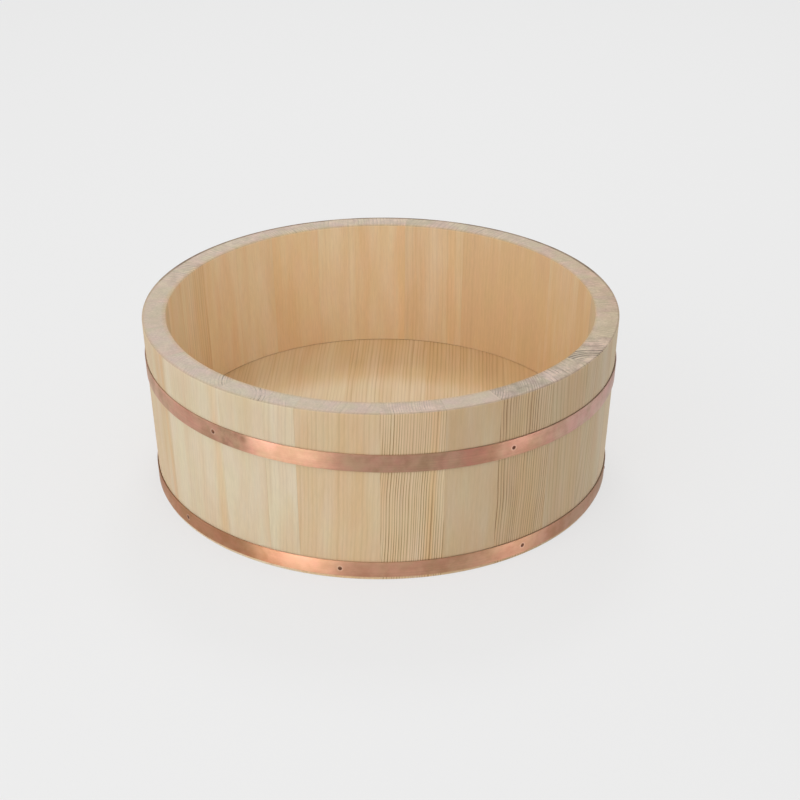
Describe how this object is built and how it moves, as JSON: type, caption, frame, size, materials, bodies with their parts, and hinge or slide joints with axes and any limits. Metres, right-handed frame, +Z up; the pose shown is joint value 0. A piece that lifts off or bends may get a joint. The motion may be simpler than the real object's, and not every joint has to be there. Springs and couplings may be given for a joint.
{
  "type": "sushi rice tub",
  "caption": "Round wooden tub for cooling and dressing rice: tapered staves with a grooved-in plank floor, bound by flat copper hoops.",
  "frame": {"origin": "centre of the circle that the foot stands on", "axes": "+Z up, out of the tub's mouth; +X to the right and -Y towards the viewer in the picture"},
  "size_m": [0.3998, 0.3998, 0.15],
  "materials": {
    "stave_wood": "bare planed softwood, fine straight grain",
    "floor_wood": "bare planed softwood, straight grain",
    "peg_bamboo": "plain bamboo, hidden in the floor",
    "hoop_copper": "satin copper strip with soft colour variation",
    "tack_copper": "dull darkened copper"
  },
  "bodies": {
    "root": {"stave_01": "stave_wood", "stave_02": "stave_wood", "stave_03": "stave_wood", "stave_04": "stave_wood", "stave_05": "stave_wood", "stave_06": "stave_wood", "stave_07": "stave_wood", "stave_08": "stave_wood", "stave_09": "stave_wood", "stave_10": "stave_wood", "stave_11": "stave_wood", "stave_12": "stave_wood", "stave_13": "stave_wood", "stave_14": "stave_wood", "stave_15": "stave_wood", "stave_16": "stave_wood", "stave_17": "stave_wood", "stave_18": "stave_wood", "stave_19": "stave_wood", "stave_20": "stave_wood", "stave_21": "stave_wood", "stave_22": "stave_wood", "stave_23": "stave_wood", "stave_24": "stave_wood", "stave_25": "stave_wood", "floor_plank_1": "floor_wood", "floor_plank_2": "floor_wood", "floor_plank_3": "floor_wood", "floor_plank_4": "floor_wood", "floor_plank_5": "floor_wood", "floor_peg_1": "peg_bamboo", "floor_peg_2": "peg_bamboo", "floor_peg_3": "peg_bamboo", "floor_peg_4": "peg_bamboo", "floor_peg_5": "peg_bamboo", "floor_peg_6": "peg_bamboo", "floor_peg_7": "peg_bamboo", "floor_peg_8": "peg_bamboo", "upper_hoop": "hoop_copper", "lower_hoop": "hoop_copper", "upper_tack_1": "tack_copper", "upper_tack_2": "tack_copper", "upper_tack_3": "tack_copper", "upper_tack_4": "tack_copper", "upper_tack_5": "tack_copper", "lower_tack_1": "tack_copper", "lower_tack_2": "tack_copper", "lower_tack_3": "tack_copper", "lower_tack_4": "tack_copper", "lower_tack_5": "tack_copper", "lower_tack_6": "tack_copper", "lower_tack_7": "tack_copper", "lower_tack_8": "tack_copper"}
  },
  "joints": []
}
